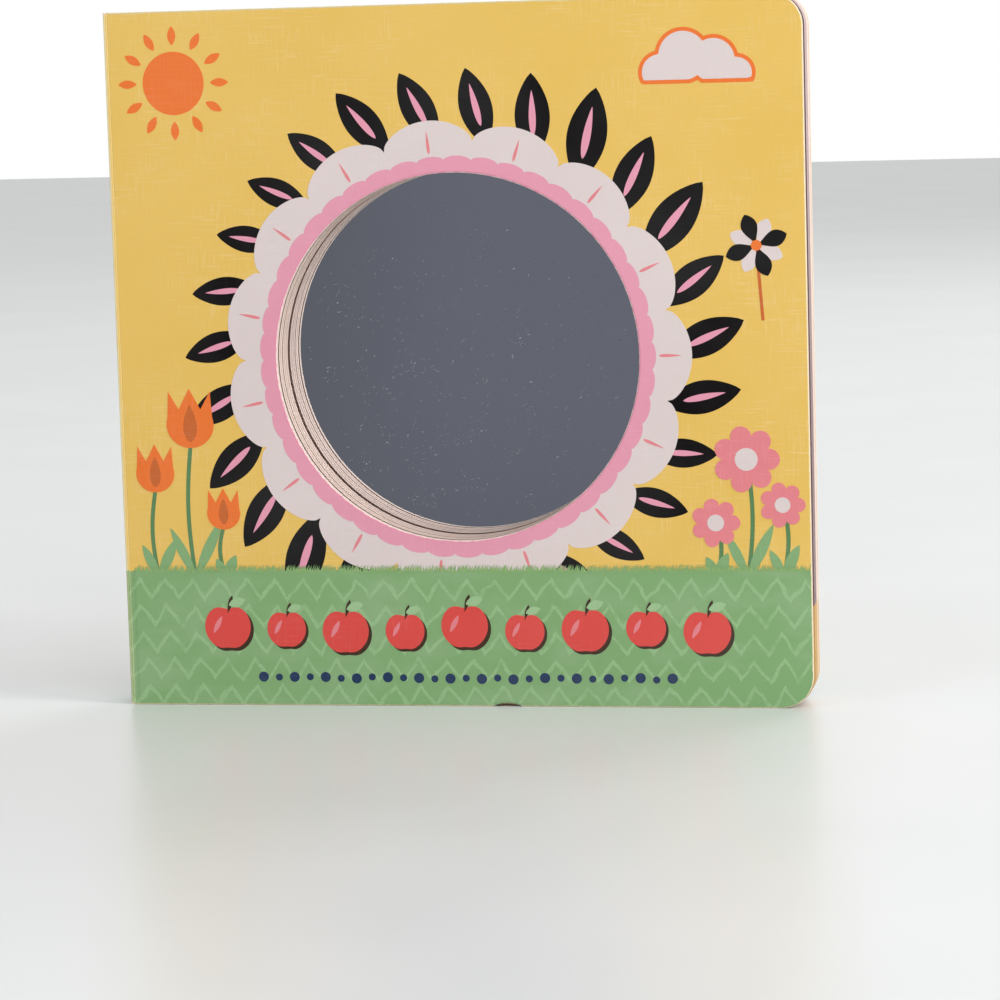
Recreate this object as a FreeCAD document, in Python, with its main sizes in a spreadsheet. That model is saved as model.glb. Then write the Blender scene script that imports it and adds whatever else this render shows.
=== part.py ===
"""A square board book with a round window cut through its front cover and leaves,
and a plastic mirror let into its back cover.

The book stands upright on its lower edge. X runs from the spine to the fore edge, Y from
the front cover to the back cover, and Z up. The origin is under the middle of the book.
Every piece is drawn from the spine's outer face and from the book's lower edge.
"""
import FreeCAD, Part
import os
import Sketcher

doc = FreeCAD.newDocument("board_book")

# Driving dimensions in millimetres, and one count.
SIZES = {
    "cover_width": 200.3,      # spine's outer face to the fore edge of the leaves
    "cover_height": 200.5,     # lower edge to upper edge
    "cover_step": 0.3,         # how far the front cover stands back from the fore edge
    "corner_radius": 9.0,      # rounded corners at the fore edge
    "front_board": 2.2,        # thickness of the front cover
    "spine_board": 1.2,        # thickness of the spine
    "hinge_gap": 0.2,          # crease between the spine and each cover
    "cover_gap": 0.8,          # air between a closed cover and the leaves
    "leaf_board": 1.9,         # thickness of a leaf
    "leaf_gap": 0.25,          # air between two leaves
    "leaf_count": 5,
    "binding_width": 8.0,      # strip beside the spine where the leaves are glued together
    "window_diameter": 105.0,
    "window_across": 100.0,    # spine's outer face to the window's centre
    "window_up": 100.5,        # lower edge to the window's centre
    "mirror_board": 1.2,       # thickness of the mirror sheet
    "mirror_margin": 4.0,      # how far the mirror runs past the window's edge
    "mirror_fit": 0.2,         # play between the mirror and its recess, all round
    "mirror_set_back": 0.5,    # mirror's face below the back cover's inner face
    "back_skin": 0.9,          # board left behind the mirror
    "edge_round": 0.3,         # pressed edges of the boards' outer faces
    "spine_round": 0.7,        # folded corners of the spine
    "nick_across": 112.0,      # spine's outer face to the middle of the dent in the lower edge
    "nick_width": 9.0,
    "nick_depth": 1.0,
}

# Places across the book from the spine's outer face, and depths from the front cover's outer face.
COVER_START = "(sizes.spine_board + sizes.hinge_gap)"
COVER_END = "(sizes.cover_width - sizes.cover_step)"
BLOCK_FRONT = "(sizes.front_board + sizes.cover_gap)"
BLOCK_DEPTH = "(sizes.leaf_count * sizes.leaf_board + (sizes.leaf_count - 1) * sizes.leaf_gap)"
BACK_FRONT = "(%s + %s + sizes.cover_gap)" % (BLOCK_FRONT, BLOCK_DEPTH)
RECESS_DEPTH = "(sizes.mirror_set_back + sizes.mirror_board)"
BACK_BOARD = "(%s + sizes.back_skin)" % RECESS_DEPTH
BOOK_DEPTH = "(%s + %s)" % (BACK_FRONT, BACK_BOARD)
MIRROR_RADIUS = "(sizes.window_diameter / 2 + sizes.mirror_margin)"

TOLERANCE = 1e-4


def fill_sheet():
    """Writes each driving dimension into a cell of its own, under its name."""
    cells = doc.addObject("Spreadsheet::Sheet", "sizes")
    for row, (name, number) in enumerate(SIZES.items(), 1):
        cells.set("A%d" % row, name)
        cells.set("B%d" % row, str(number))
        cells.setAlias("B%d" % row, name)
    doc.recompute()
    return cells


sheet = fill_sheet()


def number(expression):
    """The present value of an expression of the sheet's sizes."""
    return float(sheet.evalExpression(expression))


def new_body(name, depth):
    """An empty piece whose own origin lies at the spine, the lower edge and the given depth."""
    body = doc.addObject("PartDesign::Body", name)
    body.Label = name
    body.setExpression("Placement.Base.x", "-sizes.cover_width / 2")
    body.setExpression("Placement.Base.y", "%s - %s / 2" % (depth, BOOK_DEPTH))
    return body


def new_sketch(body, name, plane):
    """A sketch on one of the piece's own origin planes."""
    sketch = body.newObject("Sketcher::SketchObject", name)
    faces = [item for item in body.Origin.OriginFeatures if item.Role == plane]
    sketch.AttachmentSupport = [(faces[0], "")]
    sketch.MapMode = "FlatFace"
    return sketch


def bind(sketch, constraint, expression):
    """Adds a constraint whose size follows an expression."""
    index = sketch.addConstraint(constraint)
    sketch.setExpression("Constraints[%d]" % index, expression)


def rectangle(sketch, left, right, low, high):
    """A rectangle between four positions."""
    west, east, south, north = (number(side) for side in (left, right, low, high))
    corners = [(west, south), (east, south), (east, north), (west, north)]
    points = [FreeCAD.Vector(across, up, 0) for across, up in corners]
    first = sketch.GeometryCount
    for side in range(4):
        sketch.addGeometry(Part.LineSegment(points[side], points[(side + 1) % 4]), False)
    for side in range(4):
        sketch.addConstraint(
            Sketcher.Constraint("Coincident", first + side, 2, first + (side + 1) % 4, 1))
        direction = "Horizontal" if side % 2 == 0 else "Vertical"
        sketch.addConstraint(Sketcher.Constraint(direction, first + side))
    bind(sketch, Sketcher.Constraint("DistanceX", -1, 1, first, 1, west), left)
    bind(sketch, Sketcher.Constraint("DistanceX", -1, 1, first, 2, east), right)
    bind(sketch, Sketcher.Constraint("DistanceY", -1, 1, first, 1, south), low)
    bind(sketch, Sketcher.Constraint("DistanceY", -1, 1, first + 2, 1, north), high)


def circle(sketch, radius, across="sizes.window_across", up="sizes.window_up"):
    """A circle, by default about the window's centre."""
    centre = FreeCAD.Vector(number(across), number(up), 0)
    normal = FreeCAD.Vector(0, 0, 1)
    ring = sketch.addGeometry(Part.Circle(centre, normal, number(radius)), False)
    bind(sketch, Sketcher.Constraint("Radius", ring, number(radius)), radius)
    bind(sketch, Sketcher.Constraint("DistanceX", -1, 1, ring, 3, centre.x), across)
    if centre.y > 0:
        bind(sketch, Sketcher.Constraint("DistanceY", -1, 1, ring, 3, centre.y), up)
    else:
        bind(sketch, Sketcher.Constraint("DistanceY", ring, 3, -1, 1, -centre.y), "-%s" % up)


def pad(body, sketch, thickness):
    """Thickens a front-view sketch towards the back of the book."""
    feature = body.newObject("PartDesign::Pad", sketch.Name + "_pad")
    feature.Profile = sketch
    feature.Reversed = True
    feature.setExpression("Length", thickness)
    doc.recompute()
    return feature


def pocket_through(body, sketch):
    """Cuts a sketch right through the piece, both ways from its plane."""
    feature = body.newObject("PartDesign::Pocket", sketch.Name + "_cut")
    feature.Profile = sketch
    feature.Type = "ThroughAll"
    feature.Midplane = True
    doc.recompute()
    return feature


def round_edges(body, base, name, wanted, radius):
    """Rounds the edges of the base feature that pass the test."""
    names = ["Edge%d" % (place + 1) for place, edge in enumerate(base.Shape.Edges) if wanted(edge)]
    feature = body.newObject("PartDesign::Fillet", name)
    feature.Base = (base, names)
    feature.setExpression("Radius", radius)
    doc.recompute()
    return feature


def corner_at(end):
    """A test for the straight edges that run through a board at its fore-edge corners."""
    def wanted(edge):
        at_fore_edge = abs(edge.CenterOfMass.x - number(end)) < TOLERANCE
        through_board = edge.BoundBox.XLength < TOLERANCE and edge.BoundBox.ZLength < TOLERANCE
        return at_fore_edge and through_board
    return wanted


def lies_at_depth(depth):
    """A test for edges that lie wholly in the plane at that depth of their piece."""
    def wanted(edge):
        box = edge.BoundBox
        return abs(box.YMin - depth) < TOLERANCE and abs(box.YMax - depth) < TOLERANCE
    return wanted


def board(name, depth, thickness, start, end="sizes.cover_width", window=True):
    """A board with the book's outline, square at the spine and rounded at the fore edge."""
    body = new_body(name, depth)
    outline = new_sketch(body, name + "_outline", "XZ_Plane")
    rectangle(outline, start, end, "0", "sizes.cover_height")
    if window:
        circle(outline, "sizes.window_diameter / 2")
    plate = pad(body, outline, thickness)
    rounded = round_edges(body, plate, name + "_corners", corner_at(end), "sizes.corner_radius")
    return body, rounded


def build_spine():
    """The strip of cover board that wraps the back of the leaves."""
    body = new_body("spine", "0")
    outline = new_sketch(body, "spine_outline", "XZ_Plane")
    rectangle(outline, "0", "sizes.spine_board", "0", "sizes.cover_height")
    strip = pad(body, outline, BOOK_DEPTH)
    depths = (0, number(BOOK_DEPTH))

    def upright_edge_at(across):
        def wanted(edge):
            centre = edge.CenterOfMass
            outside = min(abs(centre.y - depth) for depth in depths) < TOLERANCE
            upright = edge.BoundBox.ZLength > number("sizes.cover_height") / 2
            return upright and outside and abs(centre.x - across) < TOLERANCE
        return wanted

    folded = round_edges(body, strip, "spine_folds", upright_edge_at(0), "sizes.spine_round")
    crease = upright_edge_at(number("sizes.spine_board"))
    round_edges(body, folded, "spine_creases", crease, "sizes.edge_round")
    return body


def build_page_block():
    """The leaves: one stack, parted by saw-thin gaps from the fore edge to the glued strip."""
    body, stack = board("page_block", BLOCK_FRONT, BLOCK_DEPTH, "sizes.spine_board")
    solid_volume = stack.Shape.Volume
    slot = new_sketch(body, "leaf_slot", "XY_Plane")
    glued_to = "sizes.spine_board + sizes.binding_width"
    past_fore_edge = "sizes.cover_width + sizes.corner_radius"
    rectangle(slot, glued_to, past_fore_edge, "sizes.leaf_board", "sizes.leaf_board + sizes.leaf_gap")
    first_gap = pocket_through(body, slot)
    gaps = body.newObject("PartDesign::LinearPattern", "leaf_gaps")
    gaps.Originals = [first_gap]
    gaps.Direction = (slot, ["V_Axis"])
    gaps.Mode = "Spacing"
    gaps.setExpression("Offset", "sizes.leaf_board + sizes.leaf_gap")
    gaps.setExpression("Occurrences", "sizes.leaf_count - 1")
    body.Tip = gaps
    doc.recompute()
    if gaps.Shape.Volume >= first_gap.Shape.Volume or first_gap.Shape.Volume >= solid_volume:
        raise RuntimeError("the gaps between the leaves cut nothing")
    return body


def build_front_cover():
    """The front cover, with the window and a small dent in its lower edge."""
    body, plate = board("front_cover", "0", "sizes.front_board", COVER_START, COVER_END)
    nick = new_sketch(body, "lower_edge_nick", "XZ_Plane")
    radius = "((sizes.nick_width ^ 2 / 4 + sizes.nick_depth ^ 2) / (2 * sizes.nick_depth))"
    circle(nick, radius, "sizes.nick_across", "(sizes.nick_depth - %s)" % radius)
    dented = pocket_through(body, nick)
    if dented.Shape.Volume >= plate.Shape.Volume:
        raise RuntimeError("the dent in the lower edge cuts nothing")
    round_edges(body, dented, "front_pressed_edges", lies_at_depth(0), "sizes.edge_round")
    return body


def build_back_cover():
    """The back cover, whole on the outside, with the mirror's recess on the inside."""
    body, plate = board("back_cover", BACK_FRONT, BACK_BOARD, COVER_START, window=False)
    seat = new_sketch(body, "mirror_seat", "XZ_Plane")
    circle(seat, "%s + sizes.mirror_fit" % MIRROR_RADIUS)
    recess = body.newObject("PartDesign::Pocket", "mirror_recess")
    recess.Profile = seat
    recess.setExpression("Length", RECESS_DEPTH)
    doc.recompute()
    if recess.Shape.Volume >= plate.Shape.Volume:
        raise RuntimeError("the mirror's recess cuts nothing")
    outer_face = lies_at_depth(number(BACK_BOARD))
    round_edges(body, recess, "back_pressed_edges", outer_face, "sizes.edge_round")
    return body


def build_mirror():
    """The plastic mirror sheet, seated on the floor of its recess."""
    body = new_body("mirror", "(%s + sizes.mirror_set_back)" % BACK_FRONT)
    outline = new_sketch(body, "mirror_outline", "XZ_Plane")
    circle(outline, MIRROR_RADIUS)
    pad(body, outline, "sizes.mirror_board")
    return body


pieces = [build_spine(), build_page_block(), build_front_cover(), build_back_cover(), build_mirror()]
doc.recompute()

for item in doc.Objects:
    if "Invalid" in item.State or "Error" in item.State:
        raise RuntimeError("%s did not build: %s" % (item.Name, item.State))
for piece in pieces:
    if piece.Shape.isNull() or not piece.Shape.isValid() or len(piece.Shape.Solids) != 1:
        raise RuntimeError("%s is not one sound solid" % piece.Label)

os.makedirs("parts", exist_ok=True)
for piece in pieces:
    piece.Shape.exportStep("parts/%s.step" % piece.Label)
    box = piece.Shape.BoundBox
    print("%-12s %8.1f mm3  x %.2f to %.2f  y %.2f to %.2f  z %.2f to %.2f" % (
        piece.Label, piece.Shape.Volume, box.XMin, box.XMax, box.YMin, box.YMax, box.ZMin, box.ZMax))
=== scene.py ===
# %% [markdown]
# # A board book with a mirror window
#
# The book stands on its lower edge, front cover towards the camera, spine at the left. Its
# boards, leaves and mirror come from the CAD frame, and this lesson gives them their finish:
# laminated print, cut board edges, a dusty plastic mirror and a picture in flat inks.

# %% Load the frame
import math

import bmesh
import bpy
from mathutils import Matrix, Vector


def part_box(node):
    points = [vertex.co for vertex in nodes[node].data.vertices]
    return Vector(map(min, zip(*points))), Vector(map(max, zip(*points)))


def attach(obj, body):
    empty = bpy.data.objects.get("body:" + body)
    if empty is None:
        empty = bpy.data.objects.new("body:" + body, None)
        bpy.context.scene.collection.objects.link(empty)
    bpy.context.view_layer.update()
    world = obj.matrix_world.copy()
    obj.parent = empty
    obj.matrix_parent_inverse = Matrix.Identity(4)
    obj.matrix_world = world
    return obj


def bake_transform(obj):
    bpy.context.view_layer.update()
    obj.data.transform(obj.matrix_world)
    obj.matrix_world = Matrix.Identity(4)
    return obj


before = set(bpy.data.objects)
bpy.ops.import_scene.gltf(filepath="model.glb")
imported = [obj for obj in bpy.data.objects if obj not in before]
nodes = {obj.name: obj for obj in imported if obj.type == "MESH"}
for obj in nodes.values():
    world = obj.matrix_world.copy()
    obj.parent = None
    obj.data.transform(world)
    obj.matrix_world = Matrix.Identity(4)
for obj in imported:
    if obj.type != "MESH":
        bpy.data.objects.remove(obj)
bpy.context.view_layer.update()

MM = 0.001

# %% [markdown]
# ## Places on the book
#
# Every pattern is laid out from the pieces themselves, so the print stays on its board if the
# book is made in another size. All patterns are worked out in millimetres, because the sizes
# of ink strokes and specks are easier to judge that way.

# %% Places on the book
cover_low, cover_high = (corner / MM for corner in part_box("front_cover"))
block_low, block_high = (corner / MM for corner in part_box("page_block"))
back_low, back_high = (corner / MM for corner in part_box("back_cover"))
spine_low, spine_high = (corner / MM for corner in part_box("spine"))
mirror_low, mirror_high = (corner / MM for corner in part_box("mirror"))

MIRROR_MARGIN = 4.0
window = ((mirror_low.x + mirror_high.x) / 2, (mirror_low.z + mirror_high.z) / 2)
window_radius = (mirror_high.x - mirror_low.x) / 2 - MIRROR_MARGIN
print("window at", [round(place, 1) for place in window], "radius", round(window_radius, 1))

# %% [markdown]
# ## Camera
#
# The photograph was taken from a little to the right and above, with a long lens. The angles
# come from fitting the cover's edges and the window's rim, at three depths, to the picture.
# The small roll is in the photograph too: the book's lower edge isn't quite level there.

# %% Camera
def add_object(name, data):
    made = bpy.data.objects.new(name, data)
    bpy.context.scene.collection.objects.link(made)
    return made


CAMERA_PLACE = (0.20155, -1.0122, 0.1923)
CAMERA_PAN = 10.73
CAMERA_TILT = -7.39
CAMERA_ROLL = -1.65
FOCAL_PIXELS = 3618
PICTURE_PIXELS = 1000

camera_data = bpy.data.cameras.new("camera")
camera_data.sensor_width = 36
camera_data.lens = camera_data.sensor_width * FOCAL_PIXELS / PICTURE_PIXELS
camera = add_object("camera", camera_data)
turn = Matrix.Rotation(math.radians(CAMERA_PAN), 4, "Z")
turn = turn @ Matrix.Rotation(math.radians(90 + CAMERA_TILT), 4, "X")
turn = turn @ Matrix.Rotation(math.radians(CAMERA_ROLL), 4, "Z")
camera.matrix_world = Matrix.Translation(CAMERA_PLACE) @ turn
bpy.context.scene.camera = camera
print("lens", round(camera_data.lens, 1), "mm")

# %% [markdown]
# ## Writing node trees
#
# A material or a pattern is a chain of small steps: where am I, how far from this line, mix
# these two colours. Wiring each node by hand hides that, so a few small classes name the
# steps. A Value is what a step gives, and to add or multiply two Values adds the node that
# does it. The trees of materials, of Geometry Nodes and of the world all share this.

# %% A short hand for node trees
class Value:
    """What a step gives: a number, a colour or a mesh on its way through a tree."""

    def __init__(self, steps, socket):
        self.steps = steps
        self.socket = socket

    def __add__(self, other):
        return self.steps.math("ADD", self, other)

    def __radd__(self, other):
        return self.steps.math("ADD", other, self)

    def __sub__(self, other):
        return self.steps.math("SUBTRACT", self, other)

    def __rsub__(self, other):
        return self.steps.math("SUBTRACT", other, self)

    def __mul__(self, other):
        return self.steps.math("MULTIPLY", self, other)

    def __truediv__(self, other):
        return self.steps.math("DIVIDE", self, other)

    def __mod__(self, other):
        return self.steps.math("FLOORED_MODULO", self, other)

    def __abs__(self):
        return self.steps.math("ABSOLUTE", self)


class Steps:
    """A node tree, built step by step."""

    def __init__(self, tree):
        self.tree = tree

    def feed(self, socket, value):
        if isinstance(value, Value):
            self.tree.links.new(value.socket, socket)
        elif socket.type == "RGBA":
            socket.default_value = (*value, 1.0)
        else:
            socket.default_value = value

    def step(self, kind, wires=None, output=0, **settings):
        """Adds a node, feeds its inputs and gives one of its outputs."""
        made = self.tree.nodes.new(kind)
        for setting, value in settings.items():
            setattr(made, setting, value)
        for socket, value in (wires or {}).items():
            self.feed(made.inputs[socket], value)
        return Value(self, made.outputs[output])

    def math(self, operation, *values):
        return self.step("ShaderNodeMath", dict(enumerate(values)), operation=operation)

    def vector(self, x, y, z):
        return self.step("ShaderNodeCombineXYZ", {0: x, 1: y, 2: z})


# %% [markdown]
# ## Writing materials
#
# A material asks where a point lies on its piece. Places are Object coordinates in
# millimetres, so a pattern stays on its piece when a cover opens. Soft steps between two
# values keep edges free of jagged pixels.

# %% A short hand for materials
class Finish(Steps):
    """One material. Its steps end in settings of the shader."""

    def __init__(self, name):
        self.material = bpy.data.materials.new(name)
        self.material.use_nodes = True
        super().__init__(self.material.node_tree)
        self.shader = self.tree.nodes["Principled BSDF"]
        wires = {0: self.step("ShaderNodeTexCoord", output="Object"), "Scale": 1 / MM}
        self.place = self.step("ShaderNodeVectorMath", wires, operation="SCALE")
        self.x, self.y, self.z = (
            self.step("ShaderNodeSeparateXYZ", {0: self.place}, axis) for axis in range(3))

    def noise(self, stretch, detail, where=None):
        """Soft noise from 0 to 1, near a half on average, with a stretch along each axis."""
        wires = {0: where or self.place, 1: stretch}
        stretched = self.step("ShaderNodeVectorMath", wires, operation="MULTIPLY")
        wires = {"Vector": stretched, "Scale": 1.0, "Detail": detail}
        return self.step("ShaderNodeTexNoise", wires)

    def fade(self, value, low, high):
        """0 below low, 1 above high, and smooth between them."""
        wires = {"Value": value, "From Min": low, "From Max": high}
        return self.step("ShaderNodeMapRange", wires, interpolation_type="SMOOTHSTEP")

    def inside(self, value, edge, soft=0.1):
        """1 below an edge, 0 above it."""
        return 1.0 - self.fade(value, edge - soft / 2, edge + soft / 2)

    def mix(self, share, first, second):
        return self.step("ShaderNodeMix", {0: share, 6: first, 7: second}, 2, data_type="RGBA")

    def bump(self, height, distance, strength):
        wires = {"Height": height, "Distance": distance * MM, "Strength": strength}
        self.set("Normal", self.step("ShaderNodeBump", wires))

    def set(self, name, value):
        self.feed(self.shader.inputs[name], value)


def rgb(red, green, blue):
    """A colour as seen on a screen, from 0 to 255, in the shader's linear values."""
    def linear(level):
        level = level / 255
        return level / 12.92 if level <= 0.04045 else ((level + 0.055) / 1.055) ** 2.4
    return tuple(linear(level) for level in (red, green, blue))


def lighter(colour, share):
    return tuple(level + (1 - level) * share for level in colour)


def darker(colour, share):
    return tuple(level * (1 - share) for level in colour)


YELLOW = rgb(235, 194, 98)
GREEN = rgb(133, 172, 118)
PALE_GREEN = rgb(160, 196, 147)
DEEP_GREEN = rgb(92, 134, 86)
PALE = rgb(224, 210, 208)
CHARCOAL = rgb(12, 7, 8)
PINK = rgb(232, 156, 178)
ROSE = rgb(231, 134, 141)
ORANGE = rgb(240, 119, 46)
RUST = rgb(203, 102, 42)
RED = rgb(224, 78, 72)
SHADE = rgb(66, 48, 34)
NAVY = rgb(38, 58, 92)
MAUVE = rgb(118, 92, 96)
PALE_MAUVE = rgb(178, 154, 154)
STRAW = rgb(214, 170, 96)
PEACH = rgb(226, 190, 172)
BOARD = rgb(246, 228, 216)
LEAF_EDGE = rgb(246, 224, 212)
WORN_AND_LIT_RIM = rgb(214, 207, 170)
HANDLED = rgb(226, 202, 160)
GLUE = rgb(160, 128, 116)
GAP_SHADE_BROWN = rgb(122, 92, 72)
OLIVE = rgb(92, 98, 52)
CREAM = rgb(248, 232, 184)
GRASS = rgb(146, 182, 112)

# %% [markdown]
# ## Laminated print
#
# The cover is printed paper under a thin film, glued to board. The film gives one even satin
# sheen over every ink. In the yellow there are faint brush strokes, up and across, like the
# threads of linen. They are noise stretched many times longer than wide. Stretching noise
# costs two nodes and never repeats, where drawn strokes would need thousands of lines.

# %% Laminated print
STROKE_LENGTH = 7.0
STROKE_WIDTH = 0.5
FILM_ROUGHNESS = 0.4
FILM_SHEEN = 0.15


def brush_strokes(finish):
    """0 to 1, faint strokes across and up the sheet."""
    long, fine = 1 / STROKE_LENGTH, 1 / STROKE_WIDTH
    across = finish.noise((long, long, fine), 1.0)
    upwards = finish.noise((fine, fine, long), 1.0)
    patches = finish.noise((0.05, 0.05, 0.05), 2.0)
    strokes = finish.math("MAXIMUM", finish.fade(across, 0.5, 0.8), finish.fade(upwards, 0.5, 0.8))
    return strokes * finish.fade(patches, 0.3, 0.65)


def brushed(finish, colour, share=0.11):
    """A flat ink with the strokes a little lighter than itself, and paler in soft patches."""
    patches = finish.noise((0.02, 0.02, 0.02), 3.0)
    flat = finish.mix(finish.fade(patches, 0.3, 0.7), darker(colour, 0.03), lighter(colour, 0.02))
    return finish.mix(brush_strokes(finish), flat, lighter(colour, share))


def laminate(finish, colour):
    """The film over the ink: satin, faintly uneven, as pressed paper is."""
    uneven = finish.noise((0.6, 0.6, 0.6), 3.0)
    finish.set("Base Color", colour)
    finish.set("Roughness", uneven * 0.12 + FILM_ROUGHNESS)
    finish.set("Specular IOR Level", FILM_SHEEN)
    finish.bump(uneven, 0.02, 0.25)


def ink(name, colour, share=0.05):
    finish = Finish(name)
    laminate(finish, brushed(finish, colour, share))
    return finish.material


# %% [markdown]
# ## The meadow
#
# The lower fifth of the cover is a green band with rows of chalky zigzags. A zigzag is a
# triangle wave, so a distance to it takes a few nodes: fold the distance along the cover with
# a ping-pong, and compare it with the height above the row's lower line. Slow noise pushes the
# wave about, so that it looks drawn by hand, and fine noise frays the stroke. The distance
# along is X plus Y, which runs without a break from the cover, round the spine and over the
# back.

# %% The meadow
GRASS_LINE = 39.5
ROW_PITCH = 7.8
ROW_HEIGHT = 5.6
WAVE_HALF = 4.05
CHALK_WIDTH = 0.95
GRASS_ROWS = 5
SWERVE = 3.2
LIFT = 2.0
TUFT_HEIGHT = 2.4


def meadow(finish):
    """The green band's colour, with its zigzags."""
    along = finish.x + finish.y
    swerve = finish.noise((0.16, 0.16, 0.16), 1.0)
    along = along + swerve * SWERVE
    lift = finish.noise((0.2, 0.2, 0.05), 1.0)
    height = finish.z + lift * LIFT
    row = finish.math("FLOOR", height / ROW_PITCH)
    within = height - row * ROW_PITCH
    wave = finish.math("PINGPONG", along + row * 0.5, WAVE_HALF)
    line = wave * (ROW_HEIGHT / WAVE_HALF) + 1.0
    upright = abs(within - line)
    distance = upright * (WAVE_HALF / math.hypot(WAVE_HALF, ROW_HEIGHT))
    fray = finish.noise((1.6, 1.6, 1.6), 3.0)
    ragged = distance + fray * 0.5
    stroke = finish.inside(ragged, 0.25 + CHALK_WIDTH / 2, 0.3)
    below = finish.math("LESS_THAN", row, GRASS_ROWS)
    faint = finish.noise((0.3, 0.3, 0.3), 2.0)
    stroke = stroke * below * finish.fade(faint, 0.15, 0.5)
    chalk = finish.fade(finish.noise((3, 3, 3), 2.0), 0.3, 0.6)
    stroke = stroke * (chalk * 0.6 + 0.4)
    patches = finish.noise((0.06, 0.06, 0.12), 2.0)
    ground = finish.mix(finish.fade(patches, 0.4, 0.7), GREEN, lighter(GREEN, 0.05))
    return finish.mix(stroke * 0.8, ground, PALE_GREEN)


def field(finish):
    """Yellow above, meadow below, with a ragged line of grass between them."""
    along = finish.x + finish.y
    tufts = finish.noise((1.6, 0.0, 0.0), 4.0, finish.vector(along, 0.0, 0.0))
    edge = GRASS_LINE - TUFT_HEIGHT / 2 + tufts * TUFT_HEIGHT
    above = finish.fade(finish.z - edge, -0.1, 0.1)
    return finish.mix(above, meadow(finish), brushed(finish, YELLOW))


# %% [markdown]
# ## Cut board
#
# Where the knife or the die went through, the board's cream core shows, with fine lines between its
# plies. The same board carries print on its faces, so one material tells the two apart by depth:
# within a hair of the outer face it is print, and from the pressed rim on it is cut board, yellowed
# by hands at the fore edge. A fine pale line runs round the cover on its face too: partly the film
# rubbed through along the rim, and partly a painted highlight, narrower at the fore edge than along
# the top and bottom. The distance to the board's rounded outline draws it.

# %% Cut board
PRINT_DEPTH = 0.06
RUBBED = 0.16
FACE = 0.02
INNER_SKIN = (0.6, 0.15)
SKY_LINE = 29.0
HILL_LENGTH = 17.0
HILL_HEIGHT = 4.0
CORNER_RADIUS = 9.0
FORE_EDGE_SPARED = 0.2
WORN_WIDTH = 0.52
HANDS_REACH = (12.0, 6.0)
RING_OUT = 9.0
RING_HALF = 4.0


def cut_board(finish, colour):
    """Fibres and plies of a cut edge: noise drawn out along the board."""
    plies = finish.noise((0.03, 3.0, 0.03), 1.0)
    fibres = finish.noise((0.25, 4.0, 0.25), 2.0)
    plied = finish.mix(finish.fade(plies, 0.45, 0.75), colour, darker(colour, 0.11))
    return finish.mix(finish.fade(fibres, 0.5, 0.8) * 0.16, plied, darker(colour, 0.3))


def from_window(finish):
    """The distance from the window's axis."""
    across = finish.x - window[0]
    up = finish.z - window[1]
    square = across * across + up * up
    return finish.math("SQRT", square)


def from_outline(finish):
    """How far in from the cover's outline. The fore edge counts as a little farther out."""
    right = finish.x - (cover_high.x + FORE_EDGE_SPARED - CORNER_RADIUS)
    low = cover_low.z + CORNER_RADIUS - finish.z
    high = finish.z - (cover_high.z - CORNER_RADIUS)
    up = finish.math("MAXIMUM", low, high)
    past_right, past_up = finish.math("MAXIMUM", right, 0.0), finish.math("MAXIMUM", up, 0.0)
    square = past_right * past_right + past_up * past_up
    short = finish.math("MINIMUM", finish.math("MAXIMUM", right, up), 0.0)
    out = finish.math("SQRT", square) + short
    return CORNER_RADIUS - out


def inner_print(finish, sky):
    """The inside of a cover and the leaf beside it: sky, a straw field and a pale ring."""
    along = (finish.x - block_high.x) / HILL_LENGTH
    ground = SKY_LINE + finish.math("SINE", along) * HILL_HEIGHT
    above = finish.fade(finish.z - ground, -0.2, 0.2)
    scene = finish.mix(above, brushed(finish, STRAW, 0.1), brushed(finish, sky, 0.1))
    outside = abs(from_window(finish) - (window_radius + RING_OUT))
    return finish.mix(finish.inside(outside, RING_HALF, 0.2), scene, PALE)


def board_finish(name, outer, inner, sky):
    """A cover board between two depths: printed outside, cut at its edges, printed inside."""
    finish = Finish(name)
    depth = abs(finish.y - outer)
    rubbed = finish.fade(finish.noise((0.9, 0.9, 0.9), 3.0), 0.35, 0.7)
    limit = PRINT_DEPTH + rubbed * RUBBED
    is_cut = finish.fade(depth - limit, -0.03, 0.03)
    # The pale rim line is partly rubbed film and partly a painted highlight, narrower at the fore
    # edge.
    rim = from_outline(finish) + rubbed * RUBBED
    outside = finish.mix(finish.inside(rim, WORN_WIDTH, 0.14) * 0.8, field(finish), WORN_AND_LIT_RIM)
    if outer < inner:
        flower = finish.inside(from_window(finish), window_radius + 1.0)
        outside = finish.mix(flower, outside, PINK)
    thickness = abs(outer - inner)
    skin = finish.fade(depth, thickness - INNER_SKIN[0], thickness - INNER_SKIN[1])
    core = finish.mix(skin * 0.8, cut_board(finish, BOARD), GLUE)
    handled = finish.fade(finish.x, cover_high.x - HANDS_REACH[0], cover_high.x - HANDS_REACH[1])
    core = finish.mix(handled * 0.6, core, HANDLED)
    colour = finish.mix(is_cut, outside, core)
    on_inside = finish.math("GREATER_THAN", depth, thickness - FACE)
    laminate(finish, finish.mix(on_inside, colour, inner_print(finish, sky)))
    return finish.material


def dress(node, material):
    """Gives a CAD piece its finish."""
    slots = nodes[node].data.materials
    slots.clear()
    slots.append(material)


dress("front_cover", board_finish("front_cover_print", cover_low.y, cover_high.y, MAUVE))
dress("back_cover", board_finish("back_cover_print", back_high.y, back_low.y, PEACH))

# %% [markdown]
# ## Spine
#
# The sheet folds round the spine twice. Down each corner runs a pale line, partly ink broken by the
# fold and partly a painted highlight, rubbed through more in some places than in others. Between
# the fold and the crease the colour is painted light: painted shade makes it duller in the green,
# and a painted highlight makes it paler in the yellow.

# %% Spine
WORN_AND_LIT_FOLD = 0.8
BESIDE_FOLD = 1.5
WORN_AND_LIT_FOLD_SHARE = 0.85
LESS_IN_GREEN = 0.5
SCUFFED_ENDS = 0.8


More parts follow.
